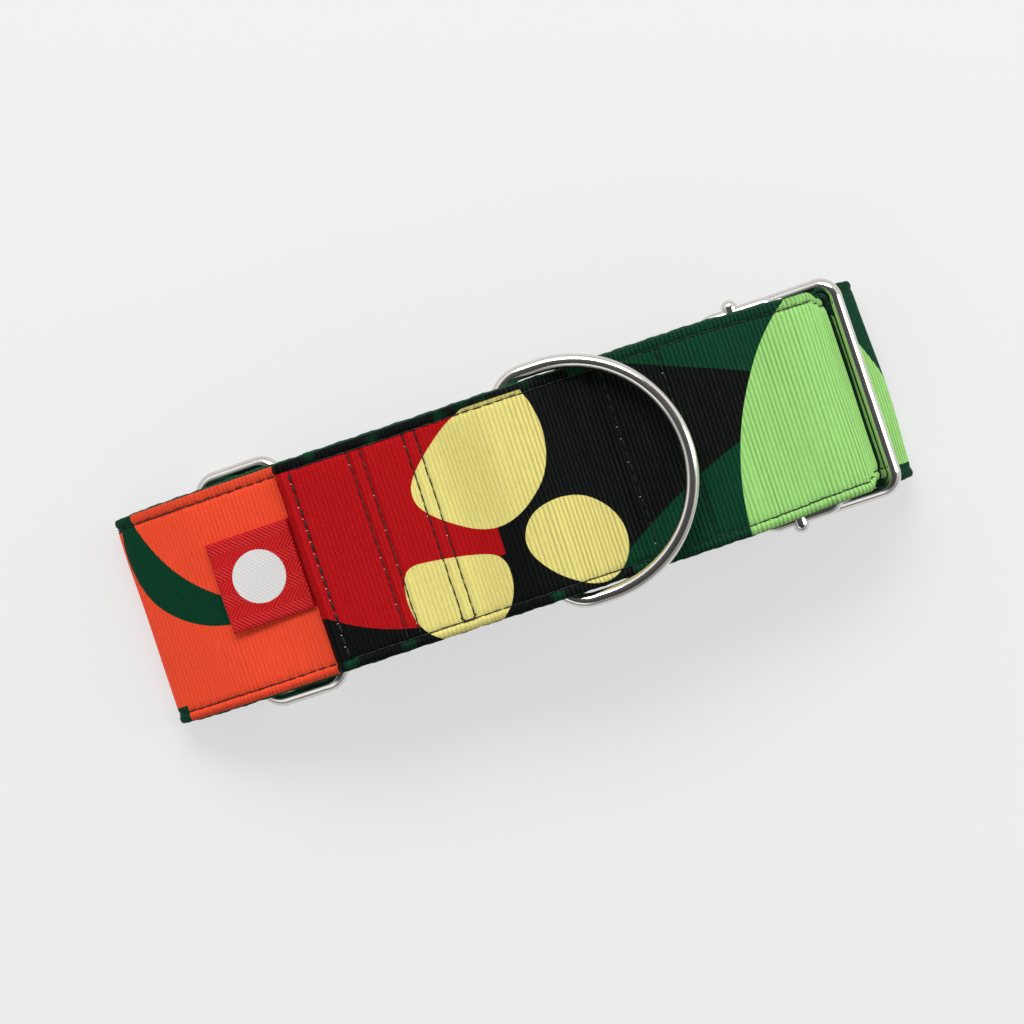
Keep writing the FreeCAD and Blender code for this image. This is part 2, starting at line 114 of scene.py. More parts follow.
# Threads and seams.
THREAD = 0.15
STITCH_PITCH = 2.75
EDGE_STITCH = 2.95
POCKET_LEFT_STITCH = 2.85
POCKET_RIGHT_STITCH = 2.2
END_STITCH = 2.35
END_THREAD = 0.26
BAND_STITCH = 2.2
BAND_THREAD = 0.18
BAND_SEAM_Y = 18.2
BAND_SEAM_SPAN = (95.0, 290.0)
END_SEAM = -47.0
SEAM_PAIRS = ((-32.8, -29.8), (-19.6, -16.7))
SEAMS_RIGHT = (28.0, 41.7)

# The side label: half its thickness, and how far it stands off the strap at its two ends.
LABEL_HALF = 0.30
LABEL_GAP = 0.35
LABEL_LIFT = 0.75
LABEL_STEP = 0.4


def middle(node):
    """The middle of a CAD node's box, in millimetres."""
    low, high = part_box(node)
    return [(low[i] + high[i]) / 2 / MM for i in range(3)]


def wire_ends(node):
    """Lowest and highest corner of a CAD node in millimetres, drawn in to the wire's centre line."""
    low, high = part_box(node)
    return [low[i] / MM + WIRE for i in range(3)], [high[i] / MM - WIRE for i in range(3)]


# ---------------------------------------------------------------- strap routes
# A strap runs like a belt over pins (x, z, radius, turn): turn is +1 where its middle line
# bends counterclockwise, seen with X to the right and Z up, and -1 where it bends clockwise.

def belt(pins, step):
    """Points along the middle line, about a step apart."""
    headings = []
    for (x1, z1, r1, t1), (x2, z2, r2, t2) in zip(pins, pins[1:]):
        apart = math.hypot(x2 - x1, z2 - z1)
        headings.append(math.atan2(z2 - z1, x2 - x1) - math.asin((t2 * r2 - t1 * r1) / apart))
    points = []
    for number, heading in enumerate(headings):
        left = np.array((-math.sin(heading), math.cos(heading)))
        x1, z1, r1, t1 = pins[number]
        x2, z2, r2, t2 = pins[number + 1]
        begin = np.array((x1, z1)) - t1 * r1 * left
        finish = np.array((x2, z2)) - t2 * r2 * left
        count = max(int(np.linalg.norm(finish - begin) / step), 1)
        points += [begin + (finish - begin) * i / count for i in range(count)]
        if number + 1 < len(headings):
            bend = (headings[number + 1] - heading) % (2 * math.pi)
            if t2 < 0:
                bend -= 2 * math.pi
            count = max(int(r2 * abs(bend) / step), 6)
            for i in range(count):
                angle = heading + bend * i / count
                points.append(np.array((x2 + t2 * r2 * math.sin(angle), z2 - t2 * r2 * math.cos(angle))))
        else:
            points.append(finish)
    return np.array(points)


def respaced(points, step):
    """The same line with its points evenly spaced."""
    gaps = np.linalg.norm(np.diff(points, axis=0), axis=1)
    along = np.concatenate([[0], np.cumsum(gaps)])
    even = np.linspace(0, along[-1], int(along[-1] / step) + 1)
    return np.stack([np.interp(even, along, points[:, i]) for i in range(2)], axis=1), even


def eased(points, spread, keep):
    """The line with its bends softened over a number of points, except near its last ones."""
    reach = np.arange(-3 * spread, 3 * spread + 1)
    weights = np.exp(-0.5 * (reach / spread) ** 2)
    weights /= weights.sum()
    padded = np.pad(points, ((3 * spread, 3 * spread), (0, 0)), mode="edge")
    soft = np.stack([np.convolve(padded[:, i], weights, mode="valid") for i in range(2)], axis=1)
    share = np.clip((len(points) - keep - np.arange(len(points))) / (2 * spread), 0, 1)[:, None]
    share = share * np.clip(np.arange(len(points)) / (6 * spread), 0, 1)[:, None]
    return points + (soft - points) * share


def left_of(points):
    """Unit vectors to the left of a line's direction."""
    ahead = np.gradient(points, axis=0)
    ahead /= np.linalg.norm(ahead, axis=1)[:, None]
    return np.stack([-ahead[:, 1], ahead[:, 0]], axis=1)


def loop_pins():
    """The control loop's pins, from its hidden end round to its folded front end."""
    bar_x, bar_z = D_RING_BAR
    left_low, _ = wire_ends("left_ring")
    _, right_high = wire_ends("right_ring")
    over_bar = WIRE + TOUCH + HALF_THICK
    under_left_bar = WIRE + LEFT_RING_ROOM + HALF_THICK + SLACK
    return [
        (LAP_END, LAP, 0.0, 1),
        (LEFT_BROW, LAP - LEFT_BROW_RADIUS, LEFT_BROW_RADIUS, 1),
        (*LEFT_SLOPE, LEFT_SLOPE_RADIUS, 1),
        (LEFT_FOLD, HALF_THICK + FOLD_RADIUS, FOLD_RADIUS, 1),
        (left_low[0], left_low[2], under_left_bar, -1),
        (FLOOR_BEND, HALF_THICK + BEND_RADIUS, BEND_RADIUS, 1),
        (RIGHT_FOLD, HALF_THICK + FOLD_RADIUS, FOLD_RADIUS, 1),
        (right_high[0], right_high[2], over_bar + SLACK, -1),
        (RIGHT_BROW, LAP - BEND_RADIUS, BEND_RADIUS, 1),
        (STEP_FOOT, LAP + STEP_RADIUS, STEP_RADIUS, -1),
        (STEP_HEAD, TOP - STEP_RADIUS, STEP_RADIUS, 1),
        (bar_x + POCKET_FOOT, TOP + POCKET_FOOT_RADIUS, POCKET_FOOT_RADIUS, -1),
        (bar_x + POCKET_HEAD, bar_z + POCKET_RISE, over_bar, 1),
        (bar_x - POCKET_HEAD, bar_z + POCKET_RISE, over_bar, 1),
        (bar_x - POCKET_FOOT, TOP + POCKET_FOOT_RADIUS, POCKET_FOOT_RADIUS, -1),
    ]


def cover_pins():
    """The printed cover is folded under at the front end."""
    return loop_pins() + [
        (FRONT_END + FRONT_TURN, TOP, 0.05, 1),
        (FRONT_END + 7.5, TOP, 0.0, 1),
    ]


def webbing_pins():
    return loop_pins() + [(FRONT_END + 8.0, TOP, 0.0, 1)]


def band_pins():
    """The neck band, from its sewn tail round the left ring, back and forth, through the
    slider, round the right ring's inside bar and back to the slider's centre bar."""
    floor = 2 * HALF_THICK + BAND_HALF
    second = floor + BAND_SECOND_RISE
    third = second + BAND_THIRD_RISE
    tail = floor + 2 * BAND_HALF
    _, left_high = wire_ends("left_ring")
    right_low, _ = wire_ends("right_ring")
    slider_x, _, slider_z = middle("slider_frame")
    centre_x = middle("slider_centre_bar")[0]
    round_ring = WIRE + TOUCH + BAND_HALF
    round_centre = CENTRE_BAR + BAND_HALF
    return [
        (BAND_TAIL, tail, 0.0, 1),
        (BAND_TAIL_BEND, tail + BAND_BEND_RADIUS, BAND_BEND_RADIUS, -1),
        (left_high[0], left_high[2], round_ring, 1),
        (FLOOR_BEND, floor + BAND_BEND_RADIUS, BAND_BEND_RADIUS, 1),
        (BAND_RIGHT_FOLD, (floor + second) / 2, (second - floor) / 2, 1),
        (BAND_LEFT_FOLD, (second + third) / 2, (third - second) / 2, -1),
        (slider_x - SLIDER_END_BAR, slider_z, WIRE + BAND_HALF, 1),
        (centre_x, slider_z, round_centre + 2 * BAND_HALF + TOUCH, -1),
        (right_low[0], right_low[2], round_ring, -1),
        (centre_x, slider_z, round_centre, -1),
        (centre_x + round_centre, slider_z - BAND_END_DROP, 0.0, 1),
    ]


# ---------------------------------------------------------------- mesh making

def make_object(name, vertices, faces, material, rounded=True):
    """A mesh object from points in millimetres."""
    mesh = bpy.data.meshes.new(name)
    mesh.from_pydata((np.asarray(vertices) * MM).tolist(), [], faces)
    mesh.validate()
    if rounded:
        mesh.shade_smooth()
    obj = bpy.data.objects.new(name, mesh)
    bpy.context.collection.objects.link(obj)
    obj.data.materials.append(material)
    return obj


def tube_faces(rings, size):
    """Quads round a chain of closed rings of points, with both ends capped."""
    faces = []
    for i in range(rings - 1):
        for j in range(size):
            k = (j + 1) % size
            faces.append((i * size + j, i * size + k, (i + 1) * size + k, (i + 1) * size + j))
    faces.append(tuple(range(size))[::-1])
    faces.append(tuple(range((rings - 1) * size, rings * size)))
    return faces


def set_lay(obj, values, along=None):
    """Where each point lies on the strap laid flat: along it, across it and which print it has.
    The ribs are counted along the strap."""
    if along is not None:
        ribs = obj.data.attributes.new("along", "FLOAT", "POINT")
        ribs.data.foreach_set("value", np.asarray(along, dtype=np.float32))
    lay = obj.data.attributes.new("lay", "FLOAT_VECTOR", "POINT")
    lay.data.foreach_set("vector", np.asarray(values, dtype=np.float32).ravel())


def smooth(value, low, high):
    """0 up to low, 1 from high on and a smooth rise between."""
    share = np.clip((value - low) / (high - low), 0, 1)
    return share * share * (3 - 2 * share)


def bump(value, centre, width):
    """A smooth hump of height 1."""
    return np.exp(-((value - centre) / width) ** 2)


def strap_half_width(flat, front):
    """Half the loop's width: the front is drawn in where it passes under the right ring's bar."""
    pinch = smooth(flat, 79.2, 83.2) * (1 - smooth(flat, 89.5, 96.0))
    drawn_in = FRONT_DRAWN_IN * smooth(flat, 50.0, 76.0) + RING_PINCH * pinch
    return HALF_WIDTH - drawn_in * (1 - smooth(flat, 112.0, 150.0)) * front


def edge_columns(half, inner_step):
    """Places across a strap, closer together at its hems."""
    hem = [half, half - 0.12, half - 0.45, half - 0.9, half - 1.4, half - 1.9]
    hem += [half - HEM + 0.15, half - HEM, half - HEM - 0.15, half - HEM - 0.6, half - HEM - 1.6]
    count = int((half - HEM - 1.6) / inner_step)
    inside = [(half - HEM - 1.6) * i / count for i in range(count)]
    positive = sorted(set(inside + hem))
    return np.array([-w for w in positive[:0:-1]] + positive)


def lay_along(points, along):
    """The flat print's x for each point: the real x where the strap is seen from above, carried
    on by length round the folds. Also 0 on the lapped side and 1 on the front side."""
    x, z = points[:, 0], points[:, 1]
    bottom = np.argmax((z < 3.0) & (x > 0.0))
    left_turn = np.argmax(x < LEFT_FOLD - 1.0)
    right_turn = bottom + np.argmax((x[bottom:] < BROW) & (z[bottom:] > 20.0))
    flat = x.copy()
    flat[left_turn:bottom] = x[left_turn] - (along[left_turn:bottom] - along[left_turn])
    flat[bottom:right_turn] = BROW + (along[right_turn] - along[bottom:right_turn])
    tip = right_turn + np.argmin(x[right_turn:])
    flat[tip:] = x[tip] - (along[tip:] - along[tip])
    front = (np.arange(len(x)) >= bottom).astype(float)
    return flat, front


def cover_relief(along, flat, columns, across, front):
    """How far the cover's outer face stands proud: ribs, hems, sunken stitch lines, slack."""
    distance = np.abs(columns)[None, :]
    seen = flat[:, None]
    row = HALF_WIDTH - HEM
    ribs = RIB_HEIGHT * (np.abs(np.sin(math.pi * along / RIB_PITCH)) ** 0.8 - 0.7)
    ribs = ribs * (0.5 + 0.5 * smooth(flat, -4.0, 10.0))
    lift = ribs[:, None] * np.clip((HALF_WIDTH - distance - 0.3) / 0.5, 0, 1)
    pucker = 1 + 0.35 * np.cos(2 * math.pi * along / STITCH_PITCH)[:, None]
    lift -= 0.30 * bump(distance, row, 0.42) * pucker
    lift += 0.22 * bump(distance, row + 1.15, 0.75)
    on_front = front[:, None] * (seen < 60)
    for seam in (END_SEAM, *SEAMS_RIGHT, *SEAM_PAIRS[0], *SEAM_PAIRS[1]):
        lift -= 0.34 * bump(seen, seam, 0.45) * on_front * (distance < 22.5)
        lift += 0.10 * bump(seen, seam + 1.3, 0.7) * on_front
    lift -= 0.55 * bump(seen, 25.2, 0.7) * on_front * (distance < 23.5)
    lift += 0.22 * bump(seen, FRONT_END + 1.6, 0.9) * on_front
    lift -= 0.6 * bump(seen, RING_CROSSING - 0.6, 1.1) * front[:, None]
    waves = np.sin(seen * 0.21 + across * 0.13) + 0.7 * np.sin(seen * 0.37 - across * 0.22 + 1.3)
    lift += 0.10 * waves * np.clip((24 - distance) / 6, 0, 1)
    under_bar = bump(seen, RING_CROSSING + 4.5, 3.5) * front[:, None]
    return lift - np.maximum(lift, 0) * under_bar


def loop_route(pins, step):
    """The control loop's middle line with softened bends, and the length along it."""
    points, along = respaced(belt(pins, 0.2), step)
    return eased(points, max(int(1.3 / step), 1), int(9.0 / step)), along


def places_across(columns, half):
    return columns[None, :] / HALF_WIDTH * half[:, None]


def webbing_edges(points, along, half, columns):
    """The webbing's half width and its points across: it shows unevenly beside the cover."""
    slope = (points[:, 0] < -50) * smooth(points[:, 1], 8.0, 12.0)
    ragged = 0.12 + 0.08 * np.sin(along * 0.9) + 0.06 * np.sin(along * 2.3)
    half = half + ragged * smooth(half, 22.0, 23.6) + 0.3 * slope
    high = smooth(points[:, 1], 20.0, 24.0)[:, None]
    return half, places_across(columns, half) + 0.3 * high * (columns[None, :] > 24.0)


def rolled_faces(outside, inside, lift, distance, flat, front):
    """Both faces' offsets: rounded at the edges and curled where the right ring's bar crosses."""
    corner = np.clip((HALF_WIDTH - distance) / 0.45, 0, 1)
    rounding = 1 - np.sqrt(1 - (1 - corner) ** 2)
    thickness = inside - outside
    outer = outside - lift + rounding * thickness * 0.5
    inner = np.full_like(outer, inside) - rounding * thickness * 0.5
    crossing = bump(flat[:, None], RING_CROSSING + 1.5, 5.0) * front[:, None]
    curl = smooth(distance, 20.0, 25.0) * crossing
    return outer + curl * 1.1, inner + curl * 1.1


# A strip's middle line, what lies where on it, its half width and its outer face's offsets.
Strip = namedtuple("Strip", "points normals flat front half outer columns bow")


def strip_mesh(name, strip, inner, across, along, material):
    """A closed mesh between a strip's outer face and the offsets of its inner face."""
    outward = range(len(strip.columns))
    inward = range(len(strip.columns) - 1, -1, -1)
    ring = []
    lay = []
    for i in range(len(strip.points)):
        base_x, base_z = strip.points[i]
        normal_x, normal_z = strip.normals[i]
        for offsets, order in ((strip.outer[i], outward), (inner[i], inward)):
            for j in order:
                x = base_x + offsets[j] * normal_x + strip.bow[i, j]
                z = max(base_z + offsets[j] * normal_z, 0.02)
                ring.append((x, across[i, j], z))
                lay.append((strip.flat[i], strip.columns[j], strip.front[i]))
    size = 2 * len(strip.columns)
    obj = make_object(name, ring, tube_faces(len(strip.points), size), material)
    set_lay(obj, lay, np.repeat(along, size))
    return obj


def loop_strip(name, pins, outside, inside, material, is_cover):
    """A closed strip that follows the control loop between two offsets from its middle line."""
    points, along = loop_route(pins, RIB_PITCH / 4 if is_cover else 0.9)
    flat, front = lay_along(points, along)
    half = strap_half_width(flat, front)
    columns = edge_columns(HALF_WIDTH, 3.2)
    if is_cover:
        across = places_across(columns, half)
        lift = cover_relief(along, flat, columns, across, front)
    else:
        half, across = webbing_edges(points, along, half, columns)
        lift = 0.0
    distance = np.abs(columns)[None, :]
    outer, inner = rolled_faces(outside, inside, lift, distance, flat, front)
    arch = 1 - (columns / HALF_WIDTH)[None, :] ** 2
    bow = 0.7 * (smooth(points[:, 0], 82.0, 89.0)[:, None] * arch)
    strip = Strip(points, left_of(points), flat, front, half, outer, columns, bow)
    return strip_mesh(name, strip, inner, across, along, material), along[-1], strip


def band_strip(name, low, high, half_width, material):
    """A closed strip that follows the neck band."""
    points, along = respaced(belt(band_pins(), 0.2), BAND_STEP)
    normals = left_of(points)
    hem = [half_width - inset for inset in (2.3, 1.5, 0.3, 0.0)]
    columns = [-y for y in hem[::-1]] + [-10, 0, 10] + hem
    last = len(columns) - 1
    ring = []
    lay = []
    for i in range(len(points)):
        for offset, inset, order in ((low, 0.25, range(last + 1)), (high, -0.25, range(last, -1, -1))):
            for j in order:
                here = offset + (inset * (high - low) if j in (0, last) else 0.0)
                x = points[i, 0] + here * normals[i, 0]
                z = points[i, 1] + here * normals[i, 1]
                ring.append((x, columns[j], z))
                lay.append((along[i], columns[j], 2.0))
    obj = make_object(name, ring, tube_faces(len(points), 2 * len(columns)), material)
    set_lay(obj, lay, np.repeat(along, 2 * len(columns)))
    return obj, along[-1], points, normals


# ---------------------------------------------------------------- stitches

def stitch_mesh(centre, ahead, up, length, thick):
    """One stitch: a short sunken-ended strand of thread along a direction, on a surface."""
    sides, slices = 6, 5
    ahead = ahead / np.linalg.norm(ahead)
    aside = np.cross(up, ahead)
    aside /= np.linalg.norm(aside)
    up = np.cross(ahead, aside)
    vertices = []
    for i in range(slices):
        share = i / (slices - 1) * 2 - 1
        radius = thick * (1 - 0.55 * share ** 4)
        sink = -thick * 0.7 * share ** 4
        for j in range(sides):
            angle = 2 * math.pi * j / sides
            ring = aside * math.cos(angle) * radius + up * math.sin(angle) * radius
            vertices.append(centre + ahead * share * length / 2 + up * sink + ring)
    return vertices, tube_faces(slices, sides)


def stitch_rows(name, rows, material, length, thick):
    """All stitches of several rows as one object. A row is a list of (centre, ahead, up)."""
    vertices = []
    faces = []
    for row in rows:
        for centre, ahead, up in row:
            points, quads = stitch_mesh(centre, ahead, up, length, thick)
            start = len(vertices)
            vertices += points
            faces += [tuple(start + index for index in quad) for quad in quads]
    return make_object(name, vertices, faces, material)


def surface_point(strip, index, column, reach=0):
    """A point on a strip's outer face, levelled over some neighbours, and the way out of it."""
    level = strip.outer[index - reach:index + reach + 1].mean(axis=0)
    offset = np.interp(column, strip.columns, level)
    bow = np.interp(column, strip.columns, strip.bow[index])
    normal_x, normal_z = strip.normals[index]
    x = strip.points[index, 0] + offset * normal_x + bow
    z = strip.points[index, 1] + offset * normal_z
    return np.array((x, column / HALF_WIDTH * strip.half[index], z)), np.array((-normal_x, 0.0, -normal_z))


def front_index(strip, x):
    """The front's point nearest to a place along the flat strap."""
    choice = np.where((strip.front > 0) & (strip.flat < 60))[0]
    return choice[np.argmin(np.abs(strip.flat[choice] - x))]


def edge_row(strip, chosen, column, rng):
    """Stitches along the strap at one place across it, where chosen is true."""
    stride = int(STITCH_PITCH / (RIB_PITCH / 4))
    row = []
    for index in range(stride, len(chosen) - stride, stride):
        if not chosen[index]:
            continue
        wander = column + rng.uniform(-0.07, 0.07)
        drift = rng.uniform(-0.03, 0.03)
        centre, up = surface_point(strip, index, wander, reach=2)
        centre = centre + up * 0.17
        centre[2] = max(centre[2], THREAD + 0.02)
        path_x, path_z = strip.points[index + 2] - strip.points[index]
        row.append((centre, np.array((path_x, drift, path_z)), up))
    return row


def cross_row(strip, x, low, high, rng):
    """Stitches across the front at x."""
    index = front_index(strip, x)
    row = []
    count = int((high - low) / STITCH_PITCH)
    for number in range(count):
        column = low + (number + 0.5) * (high - low) / count
        centre, up = surface_point(strip, index, column)
        centre = centre + np.array((rng.uniform(-0.08, 0.08), 0, 0)) + up * 0.14
        row.append((centre, np.array((rng.uniform(-0.04, 0.04), 1.0, 0.0)), up))
    return row


def seam_turn(strip, pair, low):
    """The turn at the near end of a pair of seams, where one runs on into the other."""
    left, right = pair
    middle_x = (left + right) / 2
    radius = (right - left) / 2
    row = []
    for degrees in (-150, -90, -30):
        angle = math.radians(degrees)
        index = front_index(strip, middle_x + radius * math.cos(angle))
        centre, up = surface_point(strip, index, low + 0.4 + radius * 0.6 * math.sin(angle))
        ahead = np.array((-math.sin(angle), 0.6 * math.cos(angle), 0.0))
        row.append((centre + up * 0.12, ahead * 0.55, up))
    return row


def thread_ends(row, share, rng):
    """Pale tufts of the lower thread that show between some stitches of a row."""
    ends = []
    for (first, ahead, up), (second, _, _) in zip(row, row[1:]):
        if rng.random() < share:
            aside = np.cross(up, ahead)
            lean = aside * rng.uniform(0.6, 1.4) + ahead * rng.uniform(-0.6, 0.6)
            ends.append(((first + second) / 2 + up * 0.1 + aside * 0.25, lean, up))
    return ends


# ---------------------------------------------------------------- shader helpers

class Nodes:
    """A short way to write a material's node tree."""

    def __init__(self, name):
        self.material = bpy.data.materials.new(name)
        self.material.use_nodes = True
        self.tree = self.material.node_tree
        self.shader = self.tree.nodes["Principled BSDF"]

    def add(self, kind, **settings):
        node = self.tree.nodes.new(kind)
        for key, value in settings.items():
            setattr(node, key, value)
        return node

    def put(self, socket, value):
        if isinstance(value, bpy.types.NodeSocket):
            self.tree.links.new(value, socket)
        else:
            socket.default_value = value

    def math(self, operation, *values):
        node = self.add("ShaderNodeMath", operation=operation)
        for socket, value in zip(node.inputs, values):
            self.put(socket, value)
        return node.outputs[0]

    def vector(self, operation, *values):
        node = self.add("ShaderNodeVectorMath", operation=operation)
        for socket, value in zip(node.inputs, values):
            self.put(socket, value)
        return node.outputs["Value"] if operation in ("LENGTH", "DISTANCE") else node.outputs[0]

    def mix(self, factor, first, second):
        node = self.add("ShaderNodeMix", data_type="RGBA")
        self.put(node.inputs["Factor"], factor)
        self.put(node.inputs["A"], first)
        self.put(node.inputs["B"], second)
        return node.outputs["Result"]

    def noise(self, vector, scale, detail=2.0):
        node = self.add("ShaderNodeTexNoise")
        self.put(node.inputs["Vector"], vector)
        node.inputs["Scale"].default_value = scale
        node.inputs["Detail"].default_value = detail
        return node.outputs["Fac"]

    def lay(self):
        """The place on the flat strap, as a vector and as x, y and which print it has."""
        node = self.add("ShaderNodeAttribute", attribute_name="lay")
        split = self.add("ShaderNodeSeparateXYZ")
        self.put(split.inputs[0], node.outputs["Vector"])
        return node.outputs["Vector"], split.outputs[0], split.outputs[1], split.outputs[2]

    def height(self, value, strength, distance):
        node = self.add("ShaderNodeBump")
        node.inputs["Strength"].default_value = strength
        node.inputs["Distance"].default_value = distance * MM
        self.put(node.inputs["Height"], value)
        self.put(self.shader.inputs["Normal"], node.outputs["Normal"])


def colour(red, green, blue):
    """A linear colour from the 0 to 255 values seen on a screen."""
    values = [channel / 255 for channel in (red, green, blue)]
    linear = [v / 12.92 if v <= 0.04045 else ((v + 0.055) / 1.055) ** 2.4 for v in values]
    return (*linear, 1.0)


ORANGE = colour(254, 82, 50)
RED = colour(177, 12, 18)
BLACK = colour(6, 10, 9)
DARK_GREEN = colour(0, 62, 38)
YELLOW = colour(234, 222, 132)
LIGHT_GREEN = colour(160, 220, 124)
# Painted shade for the crease just before the right ring's bar.
VALLEY_SHADE_GREEN = colour(2, 40, 26)
LABEL_RED = colour(214, 26, 30)
LABEL_WHITE = colour(238, 236, 234)


def circle_through(first, second, third):
    """Centre and radius of the circle through three points."""
    (x1, y1), (x2, y2), (x3, y3) = first, second, third
    turn = 2 * (x1 * (y2 - y3) + x2 * (y3 - y1) + x3 * (y1 - y2))
    a, b, c = x1 ** 2 + y1 ** 2, x2 ** 2 + y2 ** 2, x3 ** 2 + y3 ** 2
    x = (a * (y2 - y3) + b * (y3 - y1) + c * (y1 - y2)) / turn
    y = (a * (x3 - x2) + b * (x1 - x3) + c * (x2 - x1)) / turn
    return (x, y), math.hypot(x1 - x, y1 - y)


class Print(Nodes):
    """The colour blocks of the printed cover, drawn in the flat strap's millimetres."""

    def __init__(self, name):
        super().__init__(name)
        _, self.x, self.y, self.part = self.lay()
        flat = self.add("ShaderNodeCombineXYZ")
        self.put(flat.inputs[0], self.x)
        self.put(flat.inputs[1], self.y)
        self.flat = flat.outputs[0]

    def inside(self, distance):
        """1 where a distance is negative, with an edge as soft as dye in a ribbon."""
        return self.math("SUBTRACT", 1.0, self.smooth_step(distance, -0.06, 0.06))

    def smooth_step(self, value, low, high):
        node = self.add("ShaderNodeMapRange", interpolation_type="SMOOTHSTEP")
        self.put(node.inputs["Value"], value)
        node.inputs["From Min"].default_value = low
        node.inputs["From Max"].default_value = high
        return node.outputs["Result"]

    def disc(self, first, second, third):
        """Signed distance from the circle through three points."""
        (x, y), radius = circle_through(first, second, third)
        return self.math("SUBTRACT", self.vector("DISTANCE", self.flat, (x, y, 0.0)), radius)

    def rounded(self, arcs, corner):
        """Signed distance from a shape bounded by arcs, with its corners rounded."""
        distance = self.disc(*arcs[0])
        for arc in arcs[1:]:
            distance = self.math("SMOOTH_MAX", distance, self.disc(*arc), corner)
        return distance

    def oval(self, centre, radii, turn):
        """Signed distance, roughly, from a turned ellipse."""
        place = self.vector("SUBTRACT", self.flat, (*centre, 0.0))
        node = self.add("ShaderNodeVectorRotate", rotation_type="Z_AXIS")
        self.put(node.inputs["Vector"], place)
        node.inputs["Angle"].default_value = math.radians(-turn)
        scaled = self.vector("DIVIDE", node.outputs[0], (*radii, 1.0))
        past_edge = self.math("SUBTRACT", self.vector("LENGTH", scaled), 1.0)
        return self.math("MULTIPLY", past_edge, min(radii))

    def below(self, value, limit):
        return self.inside(self.math("SUBTRACT", value, limit))

    def above(self, value, limit):
        return self.inside(self.math("SUBTRACT", limit, value))

    def both(self, *masks):
        result = masks[0]
        for mask in masks[1:]:
            result = self.math("MULTIPLY", result, mask)
        return result

    def either(self, first, second):
        return self.math("MAXIMUM", first, second)

    def without(self, mask, removed):
        return self.math("MULTIPLY", mask, self.math("SUBTRACT", 1.0, removed))


def front_print(p):
    """The front: red, black, dark green and light green fields with three yellow stones, and a painted shade
    stripe in the crease before the right ring's bar.
    """
    field = p.inside(p.disc((-50.4, -11.0), (-40.0, -17.4), (-30.5, -20.5)))
    red = p.either(p.both(field, p.below(p.x, -20.0)), p.both(p.above(p.y, -11.0), p.below(p.x, -5.1)))
    low_green = p.inside(p.disc((21.5, -19.2), (36.0, -10.9), (54.0, -3.3)))
    slope = p.math("ADD", p.math("MULTIPLY", p.x, 0.402), p.y)
    top_green = p.above(slope, 35.4)
    green = p.both(p.either(low_green, top_green), p.above(p.x, 18.0))
    left_side = p.disc((71.0, 23.2), (55.4, 1.5), (49.3, -24.8))
    right_side = p.disc((85.3, 23.6), (96.1, 6.8), (103.2, -5.6))
    light = p.inside(p.math("MAXIMUM", left_side, right_side))
    curled = p.both(p.above(p.x, 92.0), p.below(p.y, -21.3))
    # painted shade: a dark stripe in the crease just before the right ring's bar
    valley_shade = p.both(p.above(p.x, 85.9), p.below(p.x, 87.9))
    stone_a = p.inside(p.rounded([
        ((-22.8, 9.0), (-15.9, 16.6), (-4.4, 23.6)),
        ((9.2, 22.6), (10.9, 15.0), (9.4, 5.0)),
        ((10.6, 6.8), (5.2, -0.2), (-5.5, -5.4)),
        ((-4.0, -5.5), (-14.4, -0.9), (-22.4, 6.6)),
        ((-21.0, 22.0), (-22.0, 9.2), (-21.0, -4.0)),
    ], 3.4))
    stone_b = p.inside(p.rounded([
        ((-28.0, -6.7), (-15.0, -8.4), (-5.0, -10.8)),
        ((-6.2, -10.5), (-5.5, -17.0), (-9.6, -25.0)),
        ((-29.4, -8.0), (-30.5, -15.0), (-29.0, -22.5)),
        ((-30.6, -21.8), (-18.0, -27.0), (-7.0, -24.6)),
    ], 4.5))
    stone_c = p.inside(p.rounded([
        ((-2.6, -7.4), (7.4, -2.3), (20.4, -7.6)),
        ((19.0, -6.0), (22.3, -13.5), (19.4, -22.6)),
        ((21.0, -21.8), (13.5, -24.4), (6.0, -22.4)),
        ((-2.6, -9.0), (2.2, -16.8), (11.0, -24.4)),
    ], 3.2))
    paint = p.mix(red, BLACK, RED)
    paint = p.mix(green, paint, DARK_GREEN)
    paint = p.mix(p.above(p.x, 78.0), paint, DARK_GREEN)

    hem = p.either(p.above(p.y, 22.75), p.below(p.y, -22.75))
    patches = p.smooth_step(p.noise(p.flat, 0.16), 0.50, 0.72)
    patches = p.either(patches, p.above(p.x, 21.0))
    paint = p.mix(hem, paint, p.mix(patches, BLACK, DARK_GREEN))
    paint = p.mix(light, paint, LIGHT_GREEN)
    paint = p.mix(curled, paint, DARK_GREEN)
    paint = p.mix(valley_shade, paint, VALLEY_SHADE_GREEN)
    paint = p.mix(p.without(stone_a, p.above(p.y, 23.6)), paint, YELLOW)
    paint = p.mix(stone_b, paint, YELLOW)
    return p.mix(stone_c, paint, YELLOW)


def back_print(p):
    """The lapped side: orange with a dark green crescent and corners, and the front's red painted as shade
    under its folded end.
    """
    outer = p.inside(p.disc((-89.5, 13.5), (-82.4, -0.7), (-71.9, -6.2)))
    inner = p.inside(p.disc((-85.5, 24.9), (-80.7, 11.8), (-71.7, 1.5)))
    crescent = p.both(p.without(outer, inner), p.below(p.x, -66.0))
    high_corner = p.both(p.below(p.x, -85.2), p.above(p.y, 21.8))
    low_corner = p.both(p.below(p.x, -86.6), p.below(p.y, -21.2))
    paint = p.mix(crescent, ORANGE, DARK_GREEN)
    paint = p.mix(p.either(high_corner, low_corner), paint, DARK_GREEN)
    # painted shade: the strip beside the label, under the front's folded end, is painted the front's red to
    # stand for the fold's shadow
    fold_shade_strip = p.both(p.above(p.x, -51.4), p.below(p.y, 12.7), p.above(p.y, -8.7))
    paint = p.mix(fold_shade_strip, paint, RED)
    return p.mix(p.below(p.x, -97.0), paint, DARK_GREEN)


